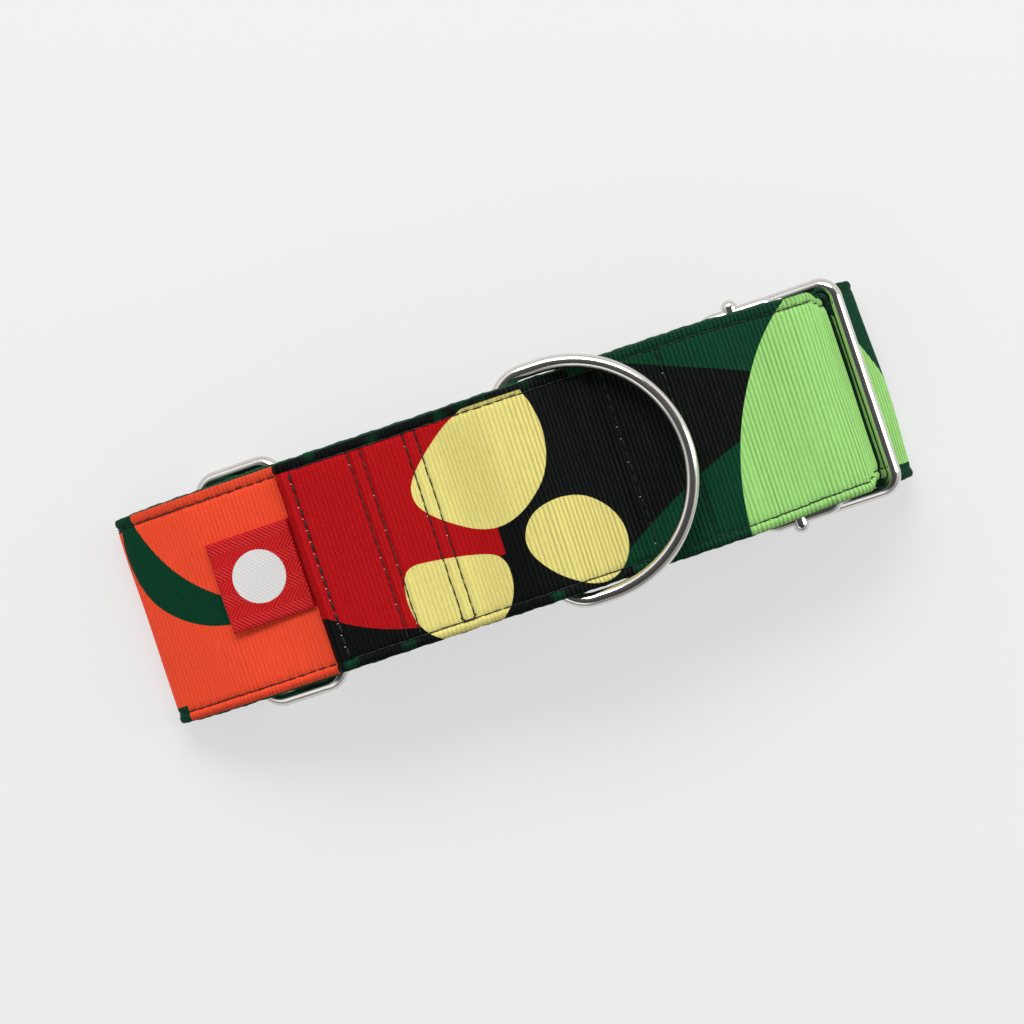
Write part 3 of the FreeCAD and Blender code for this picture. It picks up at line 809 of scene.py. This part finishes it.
def band_print(p):
    """The neck band: black and dark green waves."""
    wave = p.math("SINE", p.math("MULTIPLY", p.x, 0.09))
    split = p.math("SUBTRACT", p.y, p.math("MULTIPLY", wave, 9.0))
    return p.mix(p.inside(split), DARK_GREEN, BLACK)


def ribbon_material():
    """Printed grosgrain: fine ribs across, with painted shade between them, painted highlights on their
    crests and painted shade along both hems.
    """
    p = Print("printed_grosgrain")
    paint = p.mix(p.above(p.part, 0.5), back_print(p), front_print(p))
    paint = p.mix(p.above(p.part, 1.5), paint, band_print(p))

    along = p.add("ShaderNodeAttribute", attribute_name="along").outputs["Fac"]
    wave = p.math("ABSOLUTE", p.math("SINE", p.math("MULTIPLY", along, math.pi / RIB_PITCH)))
    uneven = p.noise(p.vector("MULTIPLY", p.flat, (0.55, 0.03, 1.0)), 1.0, 2.0)
    depth = p.math("ADD", 0.5, p.math("MULTIPLY", p.smooth_step(p.x, -4.0, 10.0), 0.8))
    # painted shade: the colour is darker between the ribs, where the grooves lie in shade
    groove_shade = p.math("MULTIPLY", p.math("SUBTRACT", 1.0, wave), p.math("MULTIPLY", uneven, depth))
    threads = p.math("SINE", p.math("MULTIPLY", p.y, 2 * math.pi / 0.42))
    stretched = p.vector("MULTIPLY", p.flat, (2.4, 0.35, 1.0))
    streaks = p.noise(stretched, 1.0, 3.0)
    specks = p.noise(p.flat, 3.2, 2.0)
    shade = p.math("ADD", 0.84, p.math("MULTIPLY", streaks, 0.26))
    shade = p.math("ADD", shade, p.math("MULTIPLY", specks, 0.16))
    shade = p.math("SUBTRACT", shade, p.math("MULTIPLY", groove_shade, 0.62))
    # painted shade: the colour is darker along both hems, where the rolled edges lie in shade
    hem = p.smooth_step(p.math("ABSOLUTE", p.y), 22.9, 24.9)
    shade = p.math("SUBTRACT", shade, p.math("MULTIPLY", hem, 0.30))
    tinted = p.add("ShaderNodeVectorMath", operation="SCALE")
    p.put(tinted.inputs[0], paint)
    p.put(tinted.inputs["Scale"], shade)
    # painted highlight: the rib crests are lightened in the colour, which shows most on the dark fields
    crest_highlight = p.math("MULTIPLY", p.math("POWER", wave, 5.0), p.math("MULTIPLY", uneven, depth))
    crest_highlight = p.math("MULTIPLY", crest_highlight, p.math("MULTIPLY", specks, 0.03))
    p.put(p.shader.inputs["Base Color"], p.vector("ADD", tinted.outputs[0], crest_highlight))

    roughness = p.math("ADD", 0.50, p.math("MULTIPLY", specks, 0.24))
    p.put(p.shader.inputs["Roughness"], roughness)
    p.shader.inputs["Specular IOR Level"].default_value = 0.06
    weave = p.math("MULTIPLY", p.math("ADD", wave, 0.6), p.math("ADD", threads, 1.6))
    weave = p.math("ADD", weave, p.math("MULTIPLY", specks, 1.2))
    p.height(weave, 0.55, 0.05)
    return p.material


def webbing_material():
    """Dark green nylon webbing with a chevron weave."""
    n = Nodes("green_webbing")
    position, x, y, _ = n.lay()
    zig = n.math("PINGPONG", y, 2.4)
    weave = n.math("SINE", n.math("MULTIPLY", n.math("ADD", x, zig), 2 * math.pi / 1.3))
    fuzz = n.noise(position, 2.5, 3.0)
    tone = n.math("ADD", 0.35, n.math("MULTIPLY", weave, 0.12))
    tone = n.math("ADD", tone, n.math("MULTIPLY", fuzz, 0.4))
    paint = n.mix(tone, colour(2, 26, 18), colour(10, 84, 56))
    n.put(n.shader.inputs["Base Color"], paint)
    n.put(n.shader.inputs["Roughness"], n.math("ADD", 0.55, n.math("MULTIPLY", fuzz, 0.25)))
    n.shader.inputs["Specular IOR Level"].default_value = 0.2
    n.height(n.math("ADD", weave, fuzz), 0.6, 0.12)
    return n.material


def thread_material():
    """Black sewing thread: twisted strands with a few pale fibres."""
    n = Nodes("black_thread")
    place = n.add("ShaderNodeTexCoord").outputs["Object"]
    fibres = n.noise(place, 1400.0, 2.0)
    pale = n.math("GREATER_THAN", fibres, 0.66)
    paint = n.mix(n.math("MULTIPLY", pale, 0.35), colour(12, 14, 14), colour(110, 112, 108))
    n.put(n.shader.inputs["Base Color"], paint)
    n.put(n.shader.inputs["Roughness"], n.math("ADD", 0.45, n.math("MULTIPLY", fibres, 0.3)))
    n.height(fibres, 0.5, 0.05)
    return n.material


def fibre_material():
    """The pale lower thread."""
    n = Nodes("pale_thread")
    n.shader.inputs["Base Color"].default_value = colour(196, 186, 172)
    n.shader.inputs["Roughness"].default_value = 0.7
    return n.material


def nickel_material():
    """Bright nickel plate over drawn wire, with faint haze and scratches."""
    n = Nodes("bright_nickel")
    place = n.add("ShaderNodeTexCoord").outputs["Object"]
    haze = n.noise(place, 90.0, 3.0)
    scratches = n.noise(n.vector("MULTIPLY", place, (900.0, 120.0, 900.0)), 1.0, 2.0)
    n.put(n.shader.inputs["Base Color"], n.mix(haze, colour(206, 202, 196), colour(232, 230, 226)))
    n.shader.inputs["Metallic"].default_value = 1.0
    rough = n.math("ADD", 0.07, n.math("MULTIPLY", haze, 0.10))
    n.put(n.shader.inputs["Roughness"], n.math("ADD", rough, n.math("MULTIPLY", scratches, 0.05)))
    n.height(scratches, 0.05, 0.02)
    return n.material


def label_material():
    """Red herringbone weave with a plain white disc woven in."""
    p = Print("woven_label")
    zig = p.math("PINGPONG", p.math("ADD", p.y, 40.0), 3.1)
    twill = p.math("SINE", p.math("MULTIPLY", p.math("ADD", p.x, zig), 2 * math.pi / 1.0))
    fuzz = p.noise(p.flat, 4.0, 2.0)
    disc = p.inside(p.oval((-60.2, 2.0), (6.2, 6.2), 0.0))
    paint = p.mix(disc, LABEL_RED, LABEL_WHITE)
    strength = p.math("SUBTRACT", 0.20, p.math("MULTIPLY", disc, 0.17))
    shade = p.math("ADD", 0.86, p.math("MULTIPLY", twill, strength))
    shade = p.math("ADD", shade, p.math("MULTIPLY", fuzz, 0.16))
    tinted = p.add("ShaderNodeVectorMath", operation="SCALE")
    p.put(tinted.inputs[0], paint)
    p.put(tinted.inputs["Scale"], shade)
    p.put(p.shader.inputs["Base Color"], tinted.outputs[0])
    p.put(p.shader.inputs["Roughness"], p.math("ADD", 0.55, p.math("MULTIPLY", fuzz, 0.2)))
    p.shader.inputs["Specular IOR Level"].default_value = 0.2
    relief = p.math("MULTIPLY", twill, p.math("SUBTRACT", 1.0, p.math("MULTIPLY", disc, 0.75)))
    p.height(relief, 0.7, 0.14)
    return p.material


# ---------------------------------------------------------------- pieces

def finish_piece(obj, body, slot, *nodes):
    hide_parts(*nodes)
    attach(obj, body)


def control_loop(ribbon, webbing, thread, fibre):
    rng = random.Random(7)
    cover, length, strip = loop_strip("printed_cover", cover_pins(), -HALF_THICK, COVER_INSIDE, ribbon, True)
    finish_piece(cover, "strap", "ribbon", "control_loop_cover")
    core, length, _ = loop_strip(
        "loop_webbing", webbing_pins(), COVER_INSIDE + 0.02, HALF_THICK, webbing, False)
    finish_piece(core, "strap", "webbing", "control_loop_webbing")
    edge_stitches(strip, thread, rng)
    seam_stitches(strip, thread, fibre, rng)


def edge_stitches(strip, thread, rng):
    """The rows along both edges, which stop at the strap's hidden and folded ends."""
    hidden = (strip.front < 1) & (strip.flat > FRONT_END - 0.5)
    turned_under = np.arange(len(strip.flat)) > len(strip.flat) - 40
    folded = (strip.front > 0) & ((strip.flat < FRONT_END + 2.5) | turned_under)
    for name, sign in (("near", -1), ("far", 1)):
        row = edge_row(strip, ~(hidden | folded), sign * (HALF_WIDTH - HEM), rng)
        obj = stitch_rows(f"loop_{name}_edge_stitches", [row], thread, EDGE_STITCH, THREAD)
        finish_piece(obj, "strap", "thread", f"control_loop_{name}_edge_thread")


def seam_stitches(strip, thread, fibre, rng):
    """The seams across the front, with pale thread ends beside some of the stitches."""
    high = HALF_WIDTH - HEM - 0.3
    end = cross_row(strip, END_SEAM, -high, high, rng)
    left = [cross_row(strip, x, -high, high, rng) for pair in SEAM_PAIRS for x in pair]
    turn = seam_turn(strip, SEAM_PAIRS[1], -high)
    right = [cross_row(strip, x, -high, high, rng) for x in SEAMS_RIGHT]
    for name, rows, length, thick, node in (
            ("folded_end_stitches", [end], END_STITCH, END_THREAD, "folded_end_seam_thread"),
            ("pocket_left_stitches", left + [turn], POCKET_LEFT_STITCH, THREAD, "d_ring_left_seam_threads"),
            ("pocket_right_stitches", right, POCKET_RIGHT_STITCH, THREAD, "d_ring_right_seam_threads")):
        obj = stitch_rows(name, rows, thread, length, thick)
        finish_piece(obj, "strap", "thread", node)

    tufts = [thread_ends(end, 0.75, rng)]
    tufts += [thread_ends(row, 0.25, rng) for row in left + right]
    obj = stitch_rows("thread_ends", tufts, fibre, 0.45, 0.09)
    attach(obj, "strap")


def neck_band(ribbon, webbing, thread):
    seam = BAND_HALF - 0.5
    core, length, points, normals = band_strip(
        "band_webbing", -BAND_HALF, seam - 0.02, BAND_HALF_WIDTH, webbing)
    finish_piece(core, "strap", "webbing", "neck_band_webbing")
    cover, _, _, _ = band_strip("band_cover", seam, BAND_HALF, BAND_HALF_WIDTH - 0.2, ribbon)
    finish_piece(cover, "strap", "ribbon", "neck_band_cover")
    band_edge_stitches(points, normals, thread)
    band_tail_stitches(points, normals, thread)


def band_edge_stitches(points, normals, thread):
    """The rows along the band's edges, on the part that the loop leaves in view."""
    first, last = (int(place / BAND_STEP) for place in BAND_SEAM_SPAN)
    for name, sign in (("near", -1), ("far", 1)):
        row = []
        for index in range(first, last, int(STITCH_PITCH / BAND_STEP)):
            normal_x, normal_z = normals[index]
            x, z = points[index] + (BAND_HALF + 0.08) * normals[index]
            centre = np.array((x, sign * BAND_SEAM_Y, z))
            row.append((centre, np.array((normal_z, 0, -normal_x)), np.array((normal_x, 0, normal_z))))
        obj = stitch_rows(f"band_{name}_edge_stitches", [row], thread, BAND_STITCH, BAND_THREAD)
        finish_piece(obj, "strap", "thread", f"neck_band_{name}_edge_thread")


def band_tail_stitches(points, normals, thread):
    """The seam that holds the band's tail round the left ring."""
    index = int(3.2 / BAND_STEP)
    normal_x, normal_z = normals[index]
    x, z = points[index] - (BAND_HALF + 0.06) * normals[index]
    across = np.array((0, 1.0, 0))
    up = np.array((-normal_x, 0, -normal_z))
    row = [(np.array((x, y, z)), across, up) for y in np.arange(-18, 18.1, STITCH_PITCH)]
    obj = stitch_rows("band_tail_stitches", [row], thread, BAND_STITCH, BAND_THREAD)
    finish_piece(obj, "strap", "thread", "neck_band_ring_seam_thread")


def side_label(material):
    """The woven label: a doubled tab that stands a little off the strap at its free end."""
    low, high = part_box("side_label")
    points, along = respaced(belt(loop_pins()[:4], 0.2), LABEL_STEP)
    normals = left_of(points)
    start = np.argmax(points[:, 0] < FRONT_END + 0.4)
    end = np.argmax(points[:, 0] < low[0] / MM - 0.2)
    half = (high[1] - low[1]) / MM / 2
    centre = (high[1] + low[1]) / MM / 2
    columns = np.array([-1, -0.985, -0.9, -0.6, -0.3, 0, 0.3, 0.6, 0.9, 0.985, 1]) * half
    last = len(columns) - 1
    count = end - start
    ring = []
    lay = []
    for i in range(count):
        share = i / (count - 1)
        from_end = min(share, 1 - share) * (count - 1) * LABEL_STEP
        full = math.sqrt(1 - (1 - min(from_end / 0.35, 1)) ** 2)
        stand = HALF_THICK + LABEL_GAP + LABEL_LIFT * share ** 2 + LABEL_HALF
        for side, order in ((1, range(last + 1)), (-1, range(last, -1, -1))):
            for j in order:
                thick = LABEL_HALF * max(full, 0.15) * (0.45 if j in (0, last) else 1.0)
                ripple = 0.12 * math.sin(columns[j] * 0.4 + share * 2.0) * share
                offset = -(stand + ripple + side * thick)
                x = points[start + i, 0] + offset * normals[start + i, 0]
                z = points[start + i, 1] + offset * normals[start + i, 1]
                ring.append((x, centre + columns[j], z))
                lay.append((points[start + i, 0], centre + columns[j], 0.0))
    obj = make_object("woven_label", ring, tube_faces(count, 2 * len(columns)), material)
    set_lay(obj, lay)
    finish_piece(obj, "label", "label", "side_label")


def hardware(material):
    for name in ("d_ring", "left_ring", "right_ring", "slider_frame", "slider_centre_bar"):
        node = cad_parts[name]
        if not node.material_slots:
            node.data.materials.append(material)
        for slot in node.material_slots:
            slot.material = material


# ---------------------------------------------------------------- stage, light and camera

CAMERA_HEIGHT = 1131.0
CAMERA_LENS = 169.2
CAMERA_ROLL = 18.48


def camera():
    """The camera looks straight down on the middle of the collar."""
    data = bpy.data.cameras.new("camera")
    data.lens = CAMERA_LENS
    data.sensor_width = 36.0
    data.clip_end = 10.0
    obj = bpy.data.objects.new("camera", data)
    obj.location = (-1.2 * MM, -2.4 * MM, CAMERA_HEIGHT * MM)
    obj.rotation_euler = (0.0, 0.0, math.radians(-CAMERA_ROLL))
    bpy.context.collection.objects.link(obj)
    bpy.context.scene.camera = obj


def floor():
    """A pale floor that glows a little, so that shadows on it stay soft."""
    n = Nodes("pale_floor")
    n.shader.inputs["Base Color"].default_value = (0.26, 0.26, 0.26, 1.0)
    n.shader.inputs["Emission Color"].default_value = (1.0, 1.0, 1.0, 1.0)
    n.shader.inputs["Emission Strength"].default_value = 0.60
    n.shader.inputs["Roughness"].default_value = 0.9
    n.shader.inputs["Specular IOR Level"].default_value = 0.1
    size = 4000.0
    corners = [(-size, -size, 0), (size, -size, 0), (size, size, 0), (-size, size, 0)]
    obj = make_object("floor", corners, [(0, 1, 2, 3)], n.material, rounded=False)


def area_light(name, place, size, power):
    """A rectangular light aimed at the collar."""
    data = bpy.data.lights.new(name, "AREA")
    data.shape = "RECTANGLE"
    data.size, data.size_y = size[0] * MM, size[1] * MM
    data.energy = power
    obj = bpy.data.objects.new(name, data)
    obj.location = Vector(place) * MM
    obj.rotation_euler = (-Vector(place)).to_track_quat("-Z", "Y").to_euler()
    bpy.context.collection.objects.link(obj)


def lights():
    """Three soft boxes placed by the picture's own right and up, and a studio round them."""
    roll = math.radians(CAMERA_ROLL)
    right = Vector((math.cos(roll), -math.sin(roll), 0))
    up = Vector((math.sin(roll), math.cos(roll), 0))
    high = Vector((0, 0, 1))
    area_light("key", up * 850 - right * 200 + high * 900, (900, 450), 11.0)
    area_light("side", right * 900 + up * 250 + high * 600, (300, 900), 3.0)
    area_light("fill", -up * 800 - right * 500 + high * 700, (900, 400), 1.0)
    bpy.context.scene.world = studio(up)
    bpy.context.scene.view_settings.view_transform = "Standard"


def studio(up):
    """A world with a bright band between a dim horizon and a dark ceiling, brighter to one side."""
    world = bpy.data.worlds.new("studio")
    world.use_nodes = True
    tree = world.node_tree
    background = tree.nodes["Background"]
    place = tree.nodes.new("ShaderNodeTexCoord")
    split = tree.nodes.new("ShaderNodeSeparateXYZ")
    tree.links.new(place.outputs["Generated"], split.inputs[0])
    ramp = tree.nodes.new("ShaderNodeValToRGB")
    tree.links.new(split.outputs[2], ramp.inputs[0])
    stops = ((0.02, 0.25), (0.12, 0.25), (0.22, 1.0), (0.50, 1.0), (0.77, 0.10))
    for position, _ in stops[2:]:
        ramp.color_ramp.elements.new(position)
    for element, (position, level) in zip(ramp.color_ramp.elements, stops):
        element.position = position
        element.color = (level, level, level, 1.0)
    toward = tree.nodes.new("ShaderNodeVectorMath")
    toward.operation = "DOT_PRODUCT"
    tree.links.new(place.outputs["Generated"], toward.inputs[0])
    toward.inputs[1].default_value = up
    side = tree.nodes.new("ShaderNodeMapRange")
    tree.links.new(toward.outputs["Value"], side.inputs["Value"])
    side.inputs["From Min"].default_value = -0.7
    side.inputs["From Max"].default_value = 0.3
    side.inputs["To Min"].default_value = 0.35
    side.inputs["To Max"].default_value = 1.0
    tinted = tree.nodes.new("ShaderNodeVectorMath")
    tinted.operation = "SCALE"
    tree.links.new(ramp.outputs[0], tinted.inputs[0])
    tree.links.new(side.outputs[0], tinted.inputs["Scale"])
    tree.links.new(tinted.outputs[0], background.inputs["Color"])
    background.inputs["Strength"].default_value = 1.18
    return world


camera()
floor()
lights()
ribbon = ribbon_material()
webbing = webbing_material()
thread = thread_material()
control_loop(ribbon, webbing, thread, fibre_material())
neck_band(ribbon, webbing, thread)
side_label(label_material())
hardware(nickel_material())
